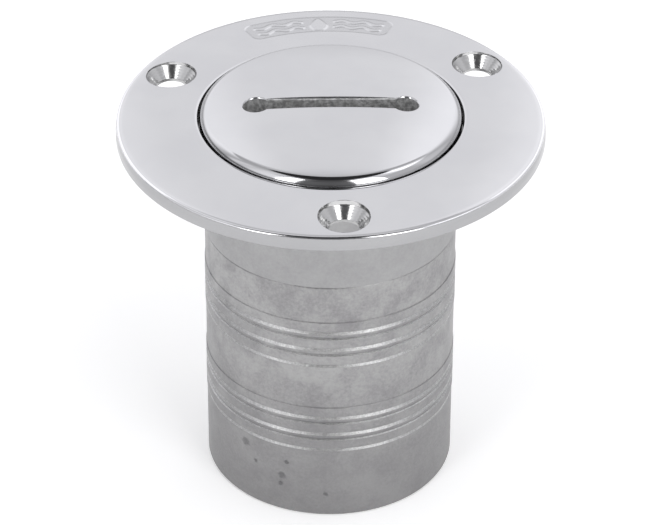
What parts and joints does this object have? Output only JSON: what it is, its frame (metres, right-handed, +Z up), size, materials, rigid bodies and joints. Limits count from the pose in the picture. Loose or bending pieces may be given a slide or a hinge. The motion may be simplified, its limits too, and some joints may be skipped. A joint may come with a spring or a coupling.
{
  "type": "deck fill cap",
  "caption": "Cast round deck filler with a straight hose neck, a screw-in domed cap with a dog-bone key slot, a seal and a retaining chain inside.",
  "frame": {"origin": "centre of the neck's bottom end", "axes": "+Z up along the neck and the cap's screw axis, -Y through the single front screw hole, +Y through the label panel"},
  "size_m": [0.085, 0.085, 0.0835],
  "materials": {
    "cast_steel": "fine cast skin on the neck, satin machined top face",
    "polished_steel": "satin polished dome",
    "black_rubber": "smooth nitrile seal",
    "bright_steel": "bright drawn wire and turned steel"
  },
  "bodies": {
    "filler": {"filler_body": "cast_steel"},
    "swivel": {"chain_swivel": "bright_steel"},
    "cap": {"fill_cap": "polished_steel", "cap_o_ring": "black_rubber", "chain_screw": "bright_steel"},
    "link_1": {"chain_link_1": "bright_steel"},
    "link_2": {"chain_link_2": "bright_steel"},
    "link_3": {"chain_link_3": "bright_steel"},
    "link_4": {"chain_link_4": "bright_steel"},
    "link_5": {"chain_link_5": "bright_steel"},
    "link_6": {"chain_link_6": "bright_steel"},
    "link_7": {"chain_link_7": "bright_steel"},
    "link_8": {"chain_link_8": "bright_steel"},
    "keeper": {"chain_keeper": "bright_steel"}
  },
  "joints": [
    {"name": "cap_rise", "type": "slide", "parent": "filler", "child": "swivel", "axis": [0, 0, 1], "range_m": [0, 0.02022]},
    {"name": "cap_turn", "type": "hinge", "parent": "swivel", "child": "cap", "pos_m": [0, 0, 0.0726], "axis": [0, 0, 1], "range_deg": [0, 3150]},
    {"name": "link_1_swing", "type": "hinge", "parent": "swivel", "child": "link_1", "pos_m": [0, 0, 0.0629], "axis": [1, 0, 0], "range_deg": [-9, 9]},
    {"name": "link_2_swing", "type": "hinge", "parent": "link_1", "child": "link_2", "pos_m": [0, 0, 0.05695], "axis": [0, 1, 0], "range_deg": [-2.5, 2.5]},
    {"name": "link_3_swing", "type": "hinge", "parent": "link_2", "child": "link_3", "pos_m": [0, 0, 0.0509], "axis": [-1, 0, 0], "range_deg": [-12, 12]},
    {"name": "link_4_swing", "type": "hinge", "parent": "link_3", "child": "link_4", "pos_m": [0, 0, 0.04485], "axis": [0, -1, 0], "range_deg": [-3.4, 3.4]},
    {"name": "link_5_swing", "type": "hinge", "parent": "link_4", "child": "link_5", "pos_m": [0, 0, 0.0388], "axis": [1, 0, 0], "range_deg": [-17, 17]},
    {"name": "link_6_swing", "type": "hinge", "parent": "link_5", "child": "link_6", "pos_m": [0, 0, 0.03275], "axis": [0, 1, 0], "range_deg": [-5.2, 5.2]},
    {"name": "link_7_swing", "type": "hinge", "parent": "link_6", "child": "link_7", "pos_m": [0, 0, 0.0267], "axis": [-1, 0, 0], "range_deg": [-30, 30]},
    {"name": "link_8_swing", "type": "hinge", "parent": "link_7", "child": "link_8", "pos_m": [0, 0, 0.02065], "axis": [0, -1, 0], "range_deg": [-12, 12]},
    {"name": "keeper_swing", "type": "hinge", "parent": "link_8", "child": "keeper", "pos_m": [0, 0, 0.0146], "axis": [1, 0, 0], "range_deg": [-60, 60]}
  ],
  "couplings": [
    {"joint": "cap_rise", "follows": "cap_turn", "m_per_rad": 0.00036765}
  ]
}
